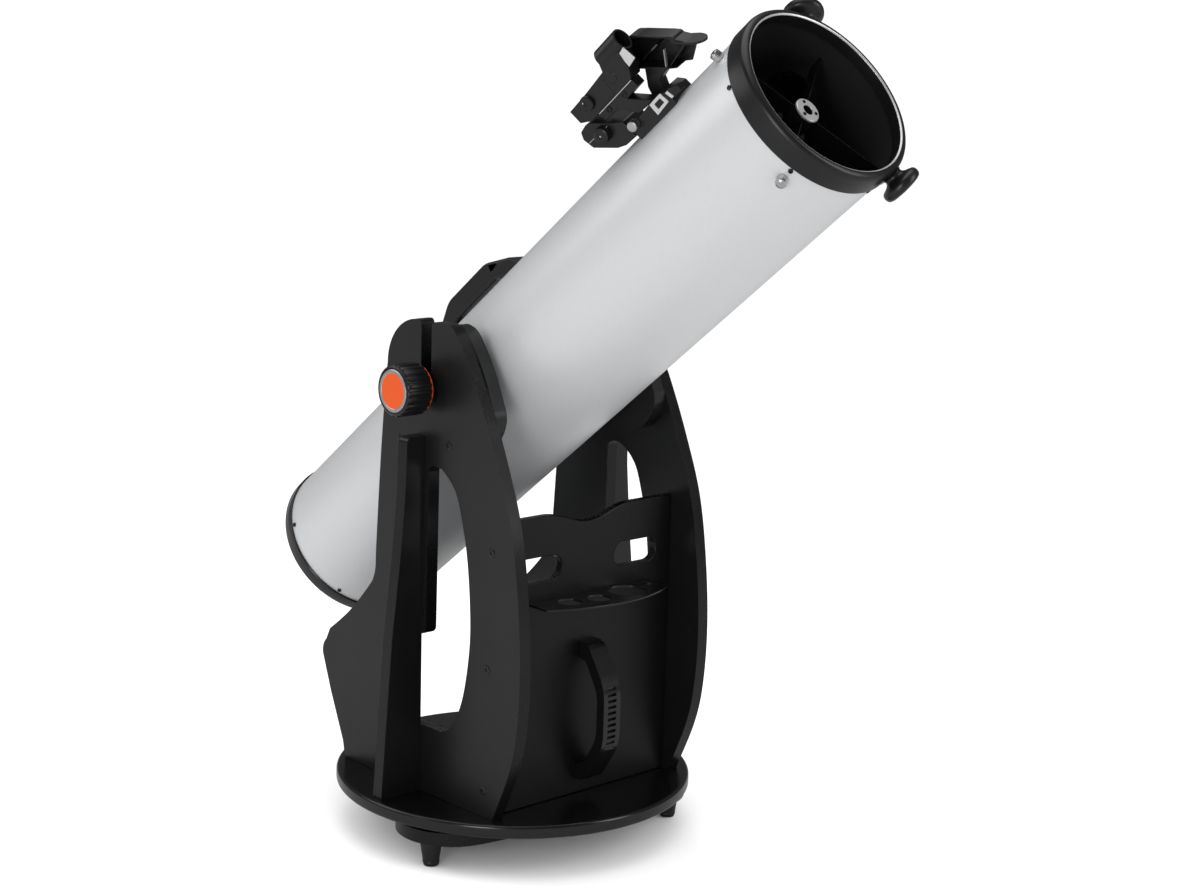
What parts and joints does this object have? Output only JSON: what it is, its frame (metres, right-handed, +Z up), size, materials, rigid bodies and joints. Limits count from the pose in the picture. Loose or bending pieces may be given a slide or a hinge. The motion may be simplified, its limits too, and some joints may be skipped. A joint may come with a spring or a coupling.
{
  "type": "dobsonian telescope",
  "caption": "Silver Newtonian tube on a black board rocker that tilts on side bearings and turns on a three-footed ground board, with finder, phone dock and eyepiece rack.",
  "frame": {"origin": "centre of the bounding box on the floor plane", "axes": "+Z is up, the tube's open end faces -Y, the altitude axis is parallel to X"},
  "size_m": [0.489, 1.0327, 1.1181],
  "materials": {
    "laminate": "black melamine laminate over board",
    "plastic": "moulded black, fine texture",
    "black_metal": "satin black",
    "silver": "silver satin paint, black inside",
    "chrome": "bright plating",
    "steel": "bare spring wire",
    "rubber": "black moulded",
    "teflon": "white low-friction plastic",
    "mirror": "aluminised front surface",
    "lens": "coated"
  },
  "bodies": {
    "ground": {"ground_board": "laminate", "foot_1": "rubber", "foot_2": "rubber", "foot_3": "rubber", "glide_pad_1": "teflon", "glide_pad_2": "teflon", "glide_pad_3": "teflon", "azimuth_bolt": "chrome", "azimuth_nut": "chrome"},
    "rocker": {"azimuth_board": "laminate", "side_panel_left": "laminate", "side_panel_right": "laminate", "brace_left": "laminate", "brace_right": "laminate", "front_board": "laminate", "bearing_cradle_left": "plastic", "bearing_cradle_right": "plastic", "eyepiece_rack": "black_metal", "grab_handle": "plastic"},
    "tube": {"front_ring": "plastic", "rear_ring": "plastic", "tube_handle": "plastic", "steering_grip_1": "plastic", "steering_grip_2": "plastic", "altitude_bearing_left": "plastic", "altitude_bearing_right": "plastic", "focuser_base": "plastic", "finder_shoe": "plastic", "finder_bracket": "plastic", "finder_body": "plastic", "dock_base": "plastic", "dock_arm": "plastic", "dock_scoop": "plastic", "mirror_cell": "black_metal", "spider": "black_metal", "secondary_holder": "black_metal", "tube_shell": "silver", "vane_nut_1": "chrome", "vane_nut_2": "chrome", "vane_nut_3": "chrome", "vane_nut_4": "chrome", "collimation_spring_1": "steel", "collimation_spring_2": "steel", "collimation_spring_3": "steel", "primary_mirror": "mirror", "secondary_mirror": "mirror", "dock_mirror": "mirror", "finder_lens": "lens"},
    "tension_knob_left_body": {"tension_knob_left": "plastic"},
    "tension_knob_right_body": {"tension_knob_right": "plastic"},
    "collimation_knob_1_body": {"collimation_knob_1": "plastic"},
    "collimation_knob_2_body": {"collimation_knob_2": "plastic"},
    "collimation_knob_3_body": {"collimation_knob_3": "plastic"},
    "focus_knobs_body": {"focus_knobs": "black_metal"},
    "focuser_drawtube_body": {"focuser_drawtube": "chrome"},
    "eyepiece_body": {"eyepiece": "plastic"},
    "eyepiece_clamp_screw_body": {"eyepiece_clamp_screw": "chrome"},
    "finder_switch_body": {"finder_switch": "plastic"},
    "shoe_lock_screw_body": {"shoe_lock_screw": "chrome"},
    "dock_adjust_knob_body": {"dock_adjust_knob": "plastic"}
  },
  "joints": [
    {"name": "azimuth_turn", "type": "hinge", "parent": "ground", "child": "rocker", "pos_m": [0, 0.07689, 0.055], "axis": [0, 0, 1], "continuous": true},
    {"name": "altitude_tilt", "type": "hinge", "parent": "rocker", "child": "tube", "pos_m": [0, 0.0707, 0.61994], "axis": [-1, 0, 0], "range_deg": [-38, 51.9]},
    {"name": "tension_knob_left_turn", "type": "hinge", "parent": "tube", "child": "tension_knob_left_body", "pos_m": [0, 0.0707, 0.61994], "axis": [-1, 0, 0], "range_deg": [-90, 360]},
    {"name": "tension_knob_right_turn", "type": "hinge", "parent": "tube", "child": "tension_knob_right_body", "pos_m": [0, 0.0707, 0.61994], "axis": [1, 0, 0], "range_deg": [-90, 360]},
    {"name": "collimation_knob_1_turn", "type": "hinge", "parent": "tube", "child": "collimation_knob_1_body", "pos_m": [0.039, 0.48607, 0.375], "axis": [0, 0.7869, -0.617], "range_deg": [-360, 360]},
    {"name": "collimation_knob_2_turn", "type": "hinge", "parent": "tube", "child": "collimation_knob_2_body", "pos_m": [0.039, 0.40271, 0.26869], "axis": [0, 0.7869, -0.617], "range_deg": [-360, 360]},
    {"name": "collimation_knob_3_turn", "type": "hinge", "parent": "tube", "child": "collimation_knob_3_body", "pos_m": [-0.078, 0.44439, 0.32184], "axis": [0, 0.7869, -0.617], "range_deg": [-360, 360]},
    {"name": "focuser_slide", "type": "slide", "parent": "tube", "child": "focuser_drawtube_body", "axis": [0.7071, 0.4363, 0.5564], "range_m": [0, 0.035]},
    {"name": "focus_knobs_turn", "type": "hinge", "parent": "tube", "child": "focus_knobs_body", "pos_m": [0.0997, -0.24955, 0.99266], "axis": [-0.7071, 0.4363, 0.5564], "range_deg": [0, 402]},
    {"name": "eyepiece_slide", "type": "slide", "parent": "focuser_drawtube_body", "child": "eyepiece_body", "axis": [0.7071, 0.4363, 0.5564], "range_m": [0, 0.03]},
    {"name": "eyepiece_clamp_turn", "type": "hinge", "parent": "focuser_drawtube_body", "child": "eyepiece_clamp_screw_body", "pos_m": [0.12516, -0.27476, 1.04478], "axis": [-0.7071, 0.4363, 0.5564], "range_deg": [0, 540]},
    {"name": "finder_switch_turn", "type": "hinge", "parent": "tube", "child": "finder_switch_body", "pos_m": [-0.11979, -0.16822, 0.99023], "axis": [-0.8829, -0.2897, -0.3694], "range_deg": [0, 270]},
    {"name": "shoe_lock_turn", "type": "hinge", "parent": "tube", "child": "shoe_lock_screw_body", "pos_m": [-0.09261, -0.22258, 0.9679], "axis": [-0.8829, -0.2897, -0.3694], "range_deg": [0, 540]},
    {"name": "dock_adjust_turn", "type": "hinge", "parent": "tube", "child": "dock_adjust_knob_body", "pos_m": [-0.10153, -0.178, 0.95426], "axis": [-0.8829, -0.2897, -0.3694], "range_deg": [-180, 180]}
  ],
  "couplings": [
    {"joint": "focus_knobs_turn", "follows": "focuser_slide", "rad_per_m": 200}
  ]
}
